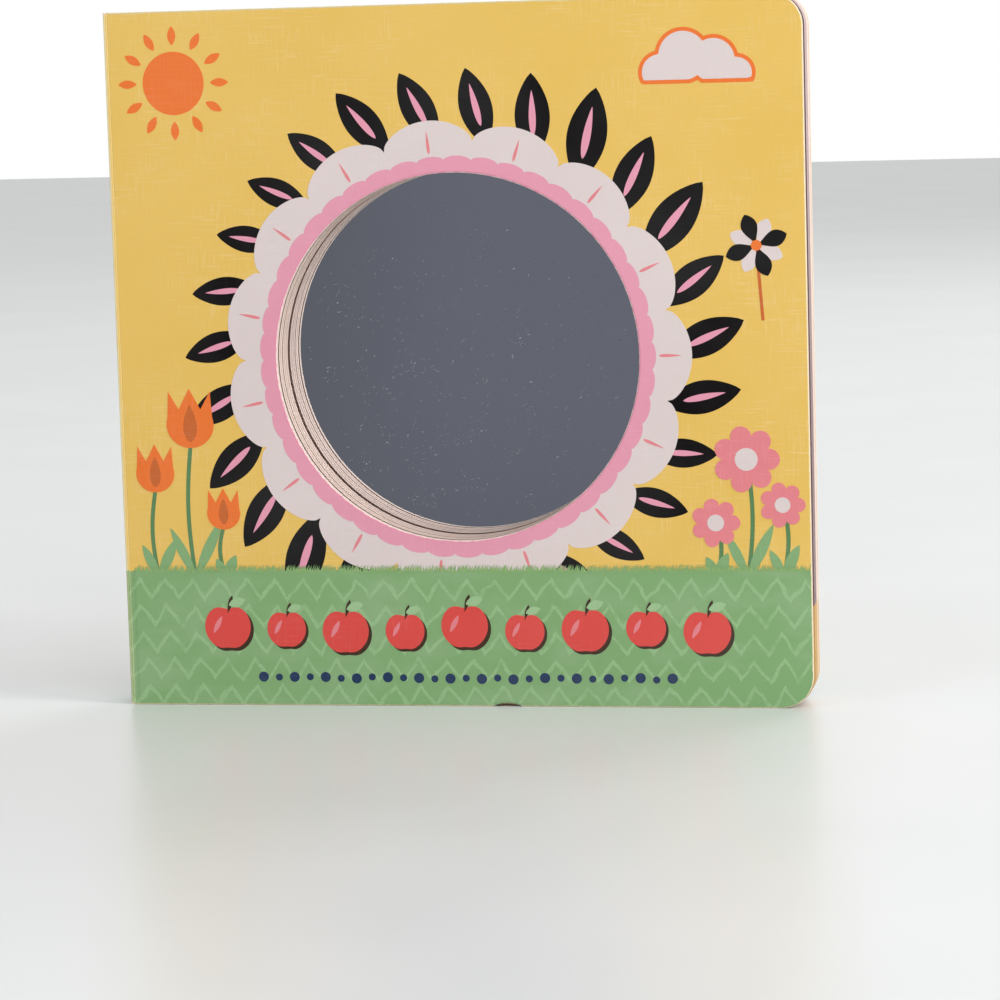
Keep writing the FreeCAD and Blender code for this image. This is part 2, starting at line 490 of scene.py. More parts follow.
def spine_finish():
    finish = Finish("spine_print")
    front = finish.y - spine_low.y
    rear = spine_high.y - finish.y
    across = finish.x - spine_low.x
    fold = finish.math("MINIMUM", front, rear) + across
    rubbed = finish.noise((0.7, 0.7, 0.22), 3.0)
    # Painted light beside the fold: painted shade (olive) in the green, a painted highlight (cream)
    # in the yellow.
    beside = finish.fade(fold, 0.75, 0.95) * finish.inside(fold, BESIDE_FOLD, 0.3)
    turned = finish.mix(finish.inside(finish.z, GRASS_LINE), CREAM, OLIVE)
    colour = finish.mix(beside * 0.4, field(finish), turned)
    # The pale fold line: rubbed ink and a painted highlight, weaker in the green.
    pale = finish.inside(fold, WORN_AND_LIT_FOLD, 0.24) * finish.fade(rubbed, 0.1, 0.5)
    in_green = finish.inside(finish.z, GRASS_LINE) * LESS_IN_GREEN
    colour = finish.mix(pale * (WORN_AND_LIT_FOLD_SHARE - in_green), colour, CREAM)
    low = finish.z - spine_low.z
    high = spine_high.z - finish.z
    from_end = finish.math("MINIMUM", low, high)
    scuffed = finish.inside(from_end, SCUFFED_ENDS, 0.9) * finish.fade(rubbed, 0.35, 0.55)
    colour = finish.mix(scuffed * 0.8, colour, BOARD)
    at_end = finish.math("LESS_THAN", from_end, FACE)
    laminate(finish, finish.mix(at_end, colour, cut_board(finish, BOARD)))
    return finish.material


dress("spine", spine_finish())

# %% [markdown]
# ## Leaves
#
# Each leaf is two printed sheets glued back to back, so its cut edge shows a pale core with a fine
# line down its middle and darker printed skins. Two leaves in the middle stand a little apart, and
# the gap between them is painted as one brown line of shade. Below the sky line every cut edge is
# tinted straw, a painted warm light. The first leaf's face shows as a narrow strip beside the
# cover, mauve above and straw below, and near the fore edge the edges of the nearest leaves are
# tinted mauve above and darker straw below.

# %% Leaves
LEAF_COUNT = 5
LEAF_GAP = 0.25
TINTED_LEAVES = 2.9
TINT_REACH = (12.0, 8.0)
SKY_FADE = (60.0, 190.0)
LEAF_SKIN = (0.2, 0.02)
FIRST_SKIN = 0.35
GAP_SHADE_AFTER = 2
GAP_SHADE_HALF = 0.42
leaf_board = (block_high.y - block_low.y - (LEAF_COUNT - 1) * LEAF_GAP) / LEAF_COUNT
leaf_pitch = leaf_board + LEAF_GAP


def leaf_finish():
    finish = Finish("leaf_board")
    depth = finish.y - block_low.y
    within = depth % leaf_pitch
    from_middle = abs(within - leaf_board / 2)
    waver = finish.fade(finish.noise((0.08, 0.5, 0.08), 2.0), 0.3, 0.6)
    glue = finish.inside(from_middle, 0.1, 0.12) * waver
    skin = finish.fade(from_middle, leaf_board / 2 - LEAF_SKIN[0], leaf_board / 2 - LEAF_SKIN[1])
    skin = finish.math("MAXIMUM", skin, finish.inside(depth, FIRST_SKIN, 0.3))
    edge = finish.mix(glue * 0.6, cut_board(finish, LEAF_EDGE), GLUE)
    edge = finish.mix(skin * 0.75, edge, GLUE)
    # Painted shade: a brown line for the gap between two leaves.
    painted_gap_shade = abs(depth - (GAP_SHADE_AFTER * leaf_pitch - LEAF_GAP / 2))
    edge = finish.mix(finish.inside(painted_gap_shade, GAP_SHADE_HALF, 0.2) * 0.8, edge, GAP_SHADE_BROWN)
    # Painted warm light: every cut edge is tinted straw below the sky line.
    low = finish.inside(finish.z, SKY_LINE, 1.0)
    edge = finish.mix(low * 0.5, edge, STRAW)
    # Near the fore edge the nearest leaves' edges are tinted mauve above and darker straw below.
    at_fore_edge = finish.fade(finish.x, block_high.x - TINT_REACH[0], block_high.x - TINT_REACH[1])
    nearest = finish.inside(depth, TINTED_LEAVES * leaf_pitch, 0.7 * leaf_pitch) * at_fore_edge
    upper = finish.mix(finish.fade(finish.z, *SKY_FADE), MAUVE, PALE_MAUVE)
    sky = finish.mix(low, upper, darker(STRAW, 0.2))
    edge = finish.mix(nearest * 0.85, edge, sky)
    on_first = finish.math("LESS_THAN", depth, FACE)
    on_last = finish.math("GREATER_THAN", depth, block_high.y - block_low.y - FACE)
    edge = finish.mix(on_first, edge, inner_print(finish, MAUVE))
    finish.set("Base Color", finish.mix(on_last, edge, inner_print(finish, PEACH)))
    finish.set("Roughness", 0.6)
    finish.bump(finish.noise((0.1, 1.0, 0.1), 1.0), 0.03, 0.2)
    return finish.material


dress("page_block", leaf_finish())

# %% [markdown]
# ## Mirror
#
# The mirror is a plastic sheet, silvered behind: a metallic shader with hardly any roughness
# and with a faint haze where fingers have wiped it. Its reflection then shows the leaves'
# edges a second time, as the real one does.

# %% Mirror
CLEAR_TINT = (0.92, 0.925, 0.94)
MILKY_TINT = (0.95, 0.955, 0.965)
CLEAR_ROUGHNESS = 0.004
MILKY_ROUGHNESS = 0.025


def mirror_finish():
    finish = Finish("plastic_mirror")
    haze = finish.fade(finish.noise((0.05, 0.05, 0.05), 3.0), 0.4, 0.75)
    wiped = finish.fade(finish.noise((0.4, 0.4, 0.12), 2.0), 0.4, 0.7)
    milky = haze * wiped
    finish.set("Base Color", finish.mix(milky, CLEAR_TINT, MILKY_TINT))
    finish.set("Metallic", 1.0)
    finish.set("Roughness", milky * MILKY_ROUGHNESS + CLEAR_ROUGHNESS)
    finish.bump(finish.noise((0.03, 0.03, 0.03), 1.0), 0.5, 0.04)
    return finish.material


dress("mirror", mirror_finish())

# %% [markdown]
# ## Cutting ink films
#
# Each ink is a film of its own, a few hundredths of a millimetre thick, laid on the cover like
# a sticker. Films keep crisp edges at any distance, where a painted texture would blur, and
# a deeper film is simply laid first. An outline is a list of points worked out by a formula,
# and the film is that outline pulled out of the board.

# %% Cutting ink films
SUNK = 0.02
LEVEL = 0.015
SIDES = {"front": (cover_low.y, -1, "front_board"), "back": (back_high.y, 1, "back_board")}


def mesh_piece(name, mesh, material, body=None):
    """Turns a mesh into an object that rides on a body of the book."""
    made = add_object(name, mesh)
    mesh.materials.clear()
    mesh.materials.append(material)
    if body:
        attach(made, body)
    return made


def mesh_of(name, shape):
    """Closes a bmesh into a mesh whose faces look outward."""
    bmesh.ops.recalc_face_normals(shape, faces=shape.faces)
    mesh = bpy.data.meshes.new(name)
    shape.to_mesh(mesh)
    shape.free()
    return mesh


def loft(shape, loops, capped):
    """Joins loops of points with a skin: one closed tube, or one with two end caps."""
    rings = [[shape.verts.new(Vector(point) * MM) for point in loop] for loop in loops]
    following = rings[1:] if capped else rings[1:] + rings[:1]
    for here, there in zip(rings, following):
        for place in range(len(here)):
            after = (place + 1) % len(here)
            shape.faces.new((here[place], here[after], there[after], there[place]))
    if capped:
        shape.faces.new(rings[0])
        shape.faces.new(rings[-1])


def depths(level, side):
    """Where a film of that level has its outer and its inner face."""
    face, outward, _ = SIDES[side]
    return face + outward * level * LEVEL, face - outward * SUNK


def film_shape(outlines, level, side):
    """Closed thin films, one for each outline of (across, up) points."""
    shape = bmesh.new()
    for outline in outlines:
        loft(shape, [[(x, y, z) for x, z in outline] for y in depths(level, side)], True)
    return shape


def film(name, outlines, level, material, side="front"):
    mesh = mesh_of(name, film_shape(outlines, level, side))
    mesh_piece(name, mesh, material, side)


def band(name, inner, outer, level, material):
    """A closed film between two outlines of as many points each."""
    near, far = depths(level, "front")
    shape = bmesh.new()
    corners = ((inner, near), (outer, near), (outer, far), (inner, far))
    loft(shape, [[(x, depth, z) for x, z in outline] for outline, depth in corners], False)
    mesh_piece(name, mesh_of(name, shape), material, "front")


def polar(centre, radius_at, count):
    """Points round a centre, at the distance that a formula gives for each angle."""
    angles = [math.tau * place / count for place in range(count)]
    return [(centre[0] + radius_at(angle) * math.cos(angle),
             centre[1] + radius_at(angle) * math.sin(angle)) for angle in angles]


def disc(centre, radius, count=40):
    return polar(centre, lambda angle: radius, count)


def blade(root, degrees, length, width, belly=0.5, count=20):
    """A leaf or petal outline: pointed at its root and tip, widest at its belly."""
    out = Vector((math.cos(math.radians(degrees)), math.sin(math.radians(degrees))))
    side = Vector((-out.y, out.x))
    power = math.log(0.5) / math.log(belly)
    shares = [step / count for step in range(count + 1)]
    halves = [width / 2 * max(math.sin(math.pi * share ** power), 0.0) ** 0.8 for share in shares]
    middle = [Vector(root) + out * share * length for share in shares]
    left = [place + side * half for place, half in zip(middle, halves)]
    right = [place - side * half for place, half in zip(middle, halves)]
    return [tuple(point) for point in left + right[-2:0:-1]]


charcoal_ink = ink("charcoal_ink", CHARCOAL, 0.01)
pale_ink = ink("pale_ink", PALE, 0.08)
pink_ink = ink("pink_ink", PINK)
rose_ink = ink("rose_ink", ROSE)
orange_ink = ink("orange_ink", ORANGE)
rust_ink = ink("rust_ink", RUST)
red_ink = ink("red_ink", RED, 0.03)
shade_ink = ink("shade_ink", SHADE, 0.02)
leaf_ink = ink("leaf_ink", PALE_GREEN)
deep_ink = ink("deep_green_ink", DEEP_GREEN)
green_ink = ink("green_ink", GREEN)
grass_ink = ink("grass_ink", GRASS)
navy_ink = ink("navy_ink", NAVY, 0.03)

# %% [markdown]
# ## Geometry Nodes for what repeats
#
# Rows and rings of the same print, grass blades and dust are made by Geometry Nodes: points
# in a row, a ring or a sheet, one small shape on each, sizes shuffled by a fixed seed. This
# class is the short hand for such a tree. Its inputs have names, and a modifier sets them by
# their identifiers. The evaluated result becomes a plain mesh, because instances are lost on
# export.

# %% A short hand for Geometry Nodes
class Pattern(Steps):
    """One Geometry Nodes tree with named inputs."""

    def __init__(self, name):
        super().__init__(bpy.data.node_groups.new(name, "GeometryNodeTree"))
        self.tree.interface.new_socket(
            "Geometry", in_out="OUTPUT", socket_type="NodeSocketGeometry")
        self.inputs = self.tree.nodes.new("NodeGroupInput")
        self.output = self.tree.nodes.new("NodeGroupOutput")

    def takes(self, **kinds):
        """Adds named inputs of the given kinds, and gives them in the same order."""
        for name, kind in kinds.items():
            self.tree.interface.new_socket(name, in_out="INPUT", socket_type="NodeSocket" + kind)
        return [Value(self, self.inputs.outputs[name]) for name in kinds]

    def chance(self, low, high, seed):
        """A random number between two limits for each point."""
        wires = {2: low, 3: high, "Seed": seed}
        return self.step("FunctionNodeRandomValue", wires, 1, data_type="FLOAT")

    def sway(self, reach, seed):
        return self.chance(reach * -1.0, reach, seed)

    def row(self, count, start, step):
        wires = {"Count": count, "Start Location": start, "Offset": step}
        return self.step("GeometryNodeMeshLine", wires)

    def stand(self, geometry, centre):
        """Turns a flat shape upright, facing the reader."""
        wires = {"Geometry": geometry, "Translation": centre, "Rotation": (math.pi / 2, 0.0, 0.0)}
        return self.step("GeometryNodeTransform", wires)

    def copies(self, points, shape, turn, size):
        """The shape on every point, turned and sized."""
        wires = {"Points": points, "Instance": shape, "Rotation": turn, "Scale": size}
        return self.step("GeometryNodeInstanceOnPoints", wires)

    def finish(self, geometry, material):
        real = self.step("GeometryNodeRealizeInstances", {0: geometry})
        coloured = self.step("GeometryNodeSetMaterial", {"Geometry": real, "Material": material})
        self.feed(self.output.inputs[0], coloured)

    def bake(self, name, values, material, body, slot):
        """Runs the tree on an empty object and keeps the result as a plain mesh piece."""
        host = add_object(name + "_host", bpy.data.meshes.new(name + "_host"))
        modifier = host.modifiers.new("pattern", "NODES")
        modifier.node_group = self.tree
        items = [item for item in self.tree.interface.items_tree if item.in_out == "INPUT"]
        identifiers = {item.name: item.identifier for item in items}
        for label, value in {**values, "Material": material}.items():
            modifier[identifiers[label]] = value
        bpy.context.view_layer.update()
        evaluated = host.evaluated_get(bpy.context.evaluated_depsgraph_get())
        mesh = bpy.data.meshes.new_from_object(evaluated)
        mesh.name = name
        bpy.data.objects.remove(host)
        print(name, len(mesh.polygons), "faces")
        mesh_piece(name, mesh, material, body)


def with_stamp(pattern, name, outlines, level, values, material, side="front"):
    """Bakes a pattern that repeats one small film, drawn round the origin."""
    mesh = mesh_of(name + "_stamp", film_shape(outlines, level, side))
    stamp = add_object(name + "_stamp", mesh)
    pattern.bake(name, {"Stamp": stamp, **values}, material, side, SIDES[side][2])
    bpy.data.objects.remove(stamp)


# %% [markdown]
# ## A ring of one print
#
# The window is the heart of a big flower in a wreath of dark leaves. The wreath is one leaf
# film set on a circle of points. Each copy is turned to face outwards and then leaned, which
# gives the wreath its swirl, and a slow wave along the circle swells some leaves and shrinks
# others, so that it doesn't look stamped by a machine.

# %% A ring of one print
def ring_pattern():
    pattern = Pattern("ring_of_prints")
    stamp, count, centre, radius, lean, swell, jitter, seed, material = pattern.takes(
        Stamp="Object", Count="Int", Centre="Vector", Radius="Float", Lean="Float",
        Swell="Float", Jitter="Float", Seed="Int", Material="Material")
    circle = pattern.step("GeometryNodeMeshCircle", {"Vertices": count, "Radius": radius})
    stood = pattern.stand(circle, centre)
    index = pattern.step("GeometryNodeInputIndex")
    angle = index / count * math.tau
    turn = (angle + lean) * -1.0
    wave = pattern.math("COSINE", (angle - 0.8) * 2.0)
    shuffled = pattern.sway(jitter, seed)
    grown = wave * swell + shuffled
    size = grown + 1.0
    shape = pattern.step("GeometryNodeObjectInfo", {"Object": stamp}, "Geometry")
    turned = pattern.vector(0.0, turn, 0.0)
    scale = pattern.vector(size, 1.0, size)
    pattern.finish(pattern.copies(stood, shape, turned, scale), material)
    return pattern


rings = ring_pattern()
RING_SEED = 4


def ring_of(name, outlines, level, material, count, centre, radius, lean=0.0, swell=0.0, jitter=0.0,
            side="front"):
    middle = (centre[0] * MM, 0.0, centre[1] * MM)
    values = {"Count": count, "Centre": middle, "Radius": radius * MM, "Lean": math.radians(lean),
              "Swell": swell, "Jitter": jitter, "Seed": RING_SEED}
    with_stamp(rings, name, outlines, level, values, material, side)


# %% A flower in a wreath
PETALS = 15
WREATH_LEAVES = 27
LEAN = 24.0
RING_POINTS = 720
CUT_MARGIN = 0.45


def scalloped(centre, radius, notch, petals):
    """An outline of round petals, with notches that reach in by a given depth."""
    def edge(angle):
        return radius - notch + notch * abs(math.cos(petals * angle / 2)) ** 0.55
    return polar(centre, edge, RING_POINTS)


def petal_ring(name, height, notch, level, material, petals):
    rim = disc(window, window_radius + CUT_MARGIN, RING_POINTS)
    band(name, rim, scalloped(window, window_radius + height, notch, petals), level, material)


wreath_radius = window_radius + 8.0
wreath = {"count": WREATH_LEAVES, "centre": window, "radius": wreath_radius, "lean": LEAN,
          "swell": 0.16, "jitter": 0.1}
ring_of("wreath_leaves", [blade((0, 0), 0, 23, 9.5, 0.5)], 1, charcoal_ink, **wreath)
ring_of("wreath_ribs", [blade((6, 0), 0, 12.5, 1.9, 0.4)], 2, pink_ink, **wreath)
petal_ring("petals_pale", 15.0, 6.0, 4, pale_ink, PETALS)
ring_of("petal_creases", [blade((0, 0), 0, 6.5, 0.9, 0.3)], 5, rose_ink,
        PETALS, window, window_radius + 5.6)
petal_ring("petals_pink", 4.8, 1.1, 6, pink_ink, 3 * PETALS)

# %% [markdown]
# ## A row of one print
#
# A row sets copies of one film along a line, large and small by turns, each a little off the
# line, as hand-set stamps are. Apples lie on the meadow, each with a dark shadow to its lower
# right, and a row of small blue berries runs under them. An apple is a circle pushed in at its
# top and slightly at its base.

# %% A row of one print
def row_pattern():
    pattern = Pattern("row_of_prints")
    stamp, count, start, step, small, sway, seed, material = pattern.takes(
        Stamp="Object", Count="Int", Start="Vector", Step="Vector", Small="Float", Sway="Float",
        Seed="Int", Material="Material")
    line = pattern.row(count, start, step)
    index = pattern.step("GeometryNodeInputIndex")
    odd = pattern.math("MODULO", index, 2.0)
    less = 1.0 - small
    size = 1.0 - odd * less
    lift = pattern.vector(0.0, 0.0, pattern.sway(sway, seed))
    moved = pattern.step("GeometryNodeSetPosition", {"Geometry": line, "Offset": lift})
    shape = pattern.step("GeometryNodeObjectInfo", {"Object": stamp}, "Geometry")
    scale = pattern.vector(size, 1.0, size)
    pattern.finish(pattern.copies(moved, shape, (0.0, 0.0, 0.0), scale), material)
    return pattern


rows = row_pattern()


def row_of(name, outlines, level, material, count, start, step, small, sway, seed):
    first, onward = (start[0] * MM, 0.0, start[1] * MM), (step * MM, 0.0, 0.0)
    values = {"Count": count, "Start": first, "Step": onward, "Small": small, "Sway": sway * MM,
              "Seed": seed}
    with_stamp(rows, name, outlines, level, values, material)


def apple_outline(centre, radius):
    def edge(angle):
        top = math.exp(-(math.remainder(angle - math.pi / 2, math.tau) / 0.42) ** 2)
        base = math.exp(-(math.remainder(angle + math.pi / 2, math.tau) / 0.3) ** 2)
        return radius * (1.0 - 0.24 * top - 0.09 * base + 0.05 * math.sin(angle))
    return polar(centre, edge, 56)


# %% Apples and berries
APPLE_RADIUS = 6.8
apples = {"count": 9, "start": (-70.0, 22.4), "step": 17.5, "small": 0.84, "sway": 0.9, "seed": 7}
berries = {"count": 27, "start": (-59.8, 8.2), "step": 4.6, "small": 0.7, "sway": 0.3, "seed": 3}

row_of("apple_shadows", [apple_outline((0.9, -0.9), APPLE_RADIUS)], 9, shade_ink, **apples)
row_of("apples", [apple_outline((0, 0), APPLE_RADIUS)], 10, red_ink, **apples)
row_of("apple_shines", [blade((-4.3, -1.6), 62, 5.6, 1.5)], 11, rose_ink, **apples)
row_of("apple_stalks", [blade((0.1, 4.2), 74, 5.4, 1.3, 0.6)], 12, shade_ink, **apples)
row_of("apple_leaves", [blade((0.5, 6.6), 18, 5.2, 2.8)], 13, leaf_ink, **apples)
row_of("berries", [disc((0, 0), 1.5, 20)], 9, navy_ink, **berries)

# %% [markdown]
# ## The grass in front
#
# The flower and its leaves stand behind the meadow, so the green band is laid over them once
# more, as a film with the board's own outline below and a wavy line above. It stops short of
# the crease, so that it clears the spine when the cover is folded right back. Along the wavy
# line grow hundreds of short blades, all from one four-sided cone, leaned and sized at
# random. They hide the band's cut edge.

# %% The grass in front
EDGE_MARGIN = 0.5
HINGE_MARGIN = 1.4
NICK_ACROSS = 112.0
NICK_HALF = 4.5
NICK_DEPTH = 1.0
WAVES = ((0.15, 9.0), (0.1, 3.7))
BLADE_WIDTH = 0.14
BLADE_LEAN = 0.5
BLADE_MIDDLE = 0.2


def meadow_outline():
    left, right = cover_low.x + HINGE_MARGIN, cover_high.x - EDGE_MARGIN
    low = cover_low.z + EDGE_MARGIN
    inner = CORNER_RADIUS - EDGE_MARGIN
    nick = spine_low.x + NICK_ACROSS
    dents = [share / 6 for share in range(-6, 7)]
    bottom = [(nick + share * NICK_HALF, low + NICK_DEPTH * (1 - share ** 2)) for share in dents]
    turns = [math.radians(-90 + 6 * step) for step in range(16)]
    corner = [(right + inner * (math.cos(turn) - 1), low + inner * (math.sin(turn) + 1))
              for turn in turns]
    places = [right + (left - right) * step / 100 for step in range(101)]
    top = [(x, sum((high * math.sin(x / run) for high, run in WAVES), GRASS_LINE))
           for x in places]
    return [(left, low)] + bottom + corner + top


def meadow_finish():
    finish = Finish("meadow_print")
    laminate(finish, meadow(finish))
    return finish.material


film("meadow", [meadow_outline()], 7, meadow_finish())


def grass_pattern():
    pattern = Pattern("grass_blades")
    count, start, step, length, width, lean, seed, material = pattern.takes(
        Count="Int", Start="Vector", Step="Vector", Length="Float", Width="Float", Lean="Float",
        Seed="Int", Material="Material")
    line = pattern.row(count, start, step)
    aside, down = pattern.chance(-0.0003, 0.0003, seed), pattern.chance(-0.0009, 0.0, seed)
    drop = pattern.vector(aside, 0.0, down)
    sown = pattern.step("GeometryNodeSetPosition", {"Geometry": line, "Offset": drop})
    cone = pattern.step("GeometryNodeMeshCone", {
        "Vertices": 4, "Radius Top": 0.00002, "Radius Bottom": width, "Depth": length})
    turn = pattern.vector(0.0, pattern.sway(lean, seed), 0.0)
    size = pattern.vector(1.0, 0.12, pattern.chance(0.4, 1.2, seed))
    pattern.finish(pattern.copies(sown, cone, turn, size), material)
    return pattern


grass = grass_pattern()
grass_left = cover_low.x + HINGE_MARGIN + 0.1
grass_run = cover_high.x - 0.6 - grass_left
for name, side, material, blades, seed, level, high in (
        ("grass_green", "front", green_ink, 900, 11, 8, 1.5),
        ("grass_light", "front", grass_ink, 900, 5, 8.6, 1.6),
        ("grass_back", "back", grass_ink, 900, 8, 3, 1.6)):
    values = {"Count": blades, "Length": high * MM, "Width": BLADE_WIDTH * MM, "Lean": BLADE_LEAN,
              "Seed": seed,
              "Start": (grass_left * MM, depths(level, side)[0] * MM,
                        (GRASS_LINE + BLADE_MIDDLE) * MM),
              "Step": (grass_run / (blades - 1) * MM, 0.0, 0.0)}
    grass.bake(name, values, material, side, SIDES[side][2])

# %% [markdown]
# ## Tulips, daisies and sky
#
# Orange tulips stand at the left and pink daisies at the right. A small sun, a cloud and
# a paper windmill fill the sky. Each is a handful of outlines in one ink, so each ink is
# one film. Outlines that cross lie in films of their own, because two faces in one plane
# would flicker.

# %% Tulips and daisies
def stem(foot, head, width, bow):
    """A gently bowed stalk between two points."""
    shares = [step / 12 for step in range(13)]
    middle = [(foot[0] + (head[0] - foot[0]) * share + bow * math.sin(math.pi * share),
               foot[1] + (head[1] - foot[1]) * share) for share in shares]
    right = [(x + width / 2, z) for x, z in middle]
    left = [(x - width / 2, z) for x, z in middle]
    return right + left[::-1]


def tulip(head, size):
    """A cup with three points."""
    x, z = head
    turns = [math.radians(108 - 12 * step) for step in range(19)]
    cup = [(x + size * 0.52 * math.sin(turn), z + size * (0.45 - 0.5 * math.cos(turn)))
           for turn in turns]
    crown = [(-0.46, 1.16), (-0.24, 0.78), (0.0, 1.22), (0.24, 0.78), (0.46, 1.16)]
    return cup + [(x + size * across, z + size * up) for across, up in crown]


def daisy(head, radius, petals=7):
    def edge(angle):
        return radius * (0.72 + 0.28 * abs(math.cos(petals * angle / 2)) ** 0.7)
    return polar(head, edge, 126)


TULIPS = ((-90, 63, 11), (-79, 76, 13.5), (-70, 52, 9.5))
DAISIES = ((73, 53, 7.0), (82, 71, 9.5), (92, 58, 6.5))
GRASS_FOOT = 37.5
flowers = [(x, z, 1 if x > 0 else -1) for x, z, size in TULIPS + DAISIES]
stalks = [stem((x, GRASS_FOOT), (x, z + 1), 1.2, 1.5 * bow) for x, z, bow in flowers]
right_leaves = [blade((x, GRASS_FOOT), 64, (z - GRASS_FOOT) * 0.5, 3.2) for x, z, bow in flowers]
left_leaves = [blade((x, GRASS_FOOT), 116, (z - GRASS_FOOT) * 0.42, 2.8) for x, z, bow in flowers]
folds = [blade((x, z + 1), 90, size * 0.8, size * 0.3, 0.4) for x, z, size in TULIPS]

film("stalks", stalks, 3, deep_ink)
film("right_leaves", right_leaves, 4, green_ink)
film("left_leaves", left_leaves, 5, green_ink)
film("tulips", [tulip((x, z), size) for x, z, size in TULIPS], 6, orange_ink)
film("tulip_folds", folds, 7, rust_ink)
film("daisies", [daisy((x, z), size) for x, z, size in DAISIES], 6, rose_ink)
film("daisy_middles", [disc((x, z), size * 0.34) for x, z, size in DAISIES], 7, pale_ink)

# %% Sky
SUN = (-80.0, 180.0)
CLOUD = (70.0, 181.0)
CLOUD_BASE = 3.6
MILL = (86.0, 131.0)
PUFFS = ((-10.0, -1.5, 5.0), (-3.5, 3.0, 6.8), (5.0, 1.6, 6.0), (11.5, -2.0, 4.2))


def heap(centre, grow):
    """A cloud: the outline round several discs that stand on one flat base."""
    def edge(angle):
        reach = 0.0
        for x, z, radius in PUFFS:
            along = x * math.cos(angle) + z * math.sin(angle)
            aside = x * math.sin(angle) - z * math.cos(angle)
            if abs(aside) < radius + grow:
                reach = max(reach, along + math.sqrt((radius + grow) ** 2 - aside ** 2))
        if math.sin(angle) < 0:
            reach = min(reach, (CLOUD_BASE + grow) / -math.sin(angle))
        return reach
    return polar(centre, edge, 180)


film("sun", [disc(SUN, 9.0, 56)], 2, orange_ink)
ring_of("sun_rays", [blade((0, 0), 0, 5.4, 2.4)], 2, orange_ink, 12, SUN, 10.8)
film("cloud_rim", [heap(CLOUD, 1.1)], 2, orange_ink)
film("cloud", [heap(CLOUD, 0.0)], 3, pale_ink)
film("mill_stick", [stem((MILL[0] + 1.5, MILL[1] - 21), MILL, 0.9, 0)], 2, rust_ink)
sails = {"count": 4, "centre": MILL, "radius": 0.01}
ring_of("mill_sails_light", [blade((0.6, 0), 0, 7.5, 4.2, 0.6)], 3, pale_ink, lean=65.0, **sails)
ring_of("mill_sails_dark", [blade((0.6, 0), 0, 8.5, 4.6, 0.6)], 4, charcoal_ink, lean=20.0, **sails)
film("mill_hub", [disc(MILL, 1.5, 20)], 5, orange_ink)

# %% [markdown]
# ## The back cover
#
# The photograph doesn't show the back. It gets the same field and a small flower in a wreath,
# from the same two patterns.

# %% The back cover
BACK_FLOWER = (0.0, 112.0)
back_wreath = {"count": 13, "centre": BACK_FLOWER, "radius": 17.0, "lean": LEAN, "jitter": 0.08,
               "side": "back"}
ring_of("back_wreath_leaves", [blade((0, 0), 0, 14, 5.6)], 1, charcoal_ink, **back_wreath)
film("back_petals", [scalloped(BACK_FLOWER, 22.0, 4.0, 11)], 2, pale_ink, "back")
film("back_heart", [scalloped(BACK_FLOWER, 9.0, 0.8, 22)], 3, pink_ink, "back")

# %% [markdown]
# ## Dust on the mirror
#
# The plastic mirror holds dust and short hairs, more of them low down and in clumps. Points
# are scattered over a disc with a density that follows height and a soft noise and thins out
# beside the window's wall, and each gets one squashed, stretched twenty-sided ball. Flakes
# with a shape catch the light from any side, which a painted speck does not. They are thin,
# so the mirror shows through them.

# %% Dust on the mirror
DUST_ALPHA = 0.3
DUST_LIFT = 0.015
BARE_RIM = 2.5
RIM_FADE = 160.0
CLUMP_SCALE = 150.0
CLUMP_CONTRAST = 9.0
CLUMP_LEVEL = 3.9
CLUMP_LEAST = 0.1
SHEET_POINTS = 90


def dust_pattern():
    pattern = Pattern("mirror_dust")
    radius, centre, density, flake, stretch, seed, material = pattern.takes(
        Radius="Float", Centre="Vector", Density="Float", Flake="Float", Stretch="Float",
        Seed="Int", Material="Material")
    side = radius * 2.0
    sheet = pattern.step("GeometryNodeMeshGrid", {
        "Size X": side, "Size Y": side, "Vertices X": SHEET_POINTS,
        "Vertices Y": SHEET_POINTS})
    stood = pattern.stand(sheet, centre)
    where = pattern.step("GeometryNodeInputPosition")
    middle = pattern.step("ShaderNodeVectorMath", {0: where, 1: centre}, operation="SUBTRACT")
    reach = pattern.step("ShaderNodeVectorMath", {0: middle}, "Value", operation="LENGTH")
    height = pattern.step("ShaderNodeSeparateXYZ", {0: middle}, 2)
    fall = height / radius * 0.5
    noise = pattern.step("ShaderNodeTexNoise", {
        "Vector": where, "Scale": CLUMP_SCALE, "Detail": 3.0})
    clumps = pattern.math("MAXIMUM", noise * CLUMP_CONTRAST - CLUMP_LEVEL, CLUMP_LEAST)
    share = (0.8 - fall) * clumps
    inward = (radius - reach) * RIM_FADE
    on_disc = pattern.math("MAXIMUM", pattern.math("MINIMUM", inward, 1.0), 0.0)
    local = density * share * on_disc
    scattered = pattern.step("GeometryNodeDistributePointsOnFaces", {
        "Mesh": stood, "Density": local, "Seed": seed})
    ball = pattern.step("GeometryNodeMeshIcoSphere", {"Radius": flake, "Subdivisions": 1})
    small = pattern.chance(0.35, 1.0, seed)
    size = pattern.vector(small * pattern.chance(1.0, stretch, seed), 0.2, small)
    turn = pattern.vector(0.0, pattern.chance(0.0, math.pi, seed), 0.0)
    pattern.finish(pattern.copies(scattered, ball, turn, size), material)
    return pattern


def dust_finish(name, colour):
    finish = Finish(name)
    fluff = finish.noise((3, 3, 3), 2.0)
    finish.set("Base Color", finish.mix(fluff, darker(colour, 0.2), lighter(colour, 0.3)))
    finish.set("Roughness", 0.9)
    finish.set("Alpha", DUST_ALPHA)
    return finish.material


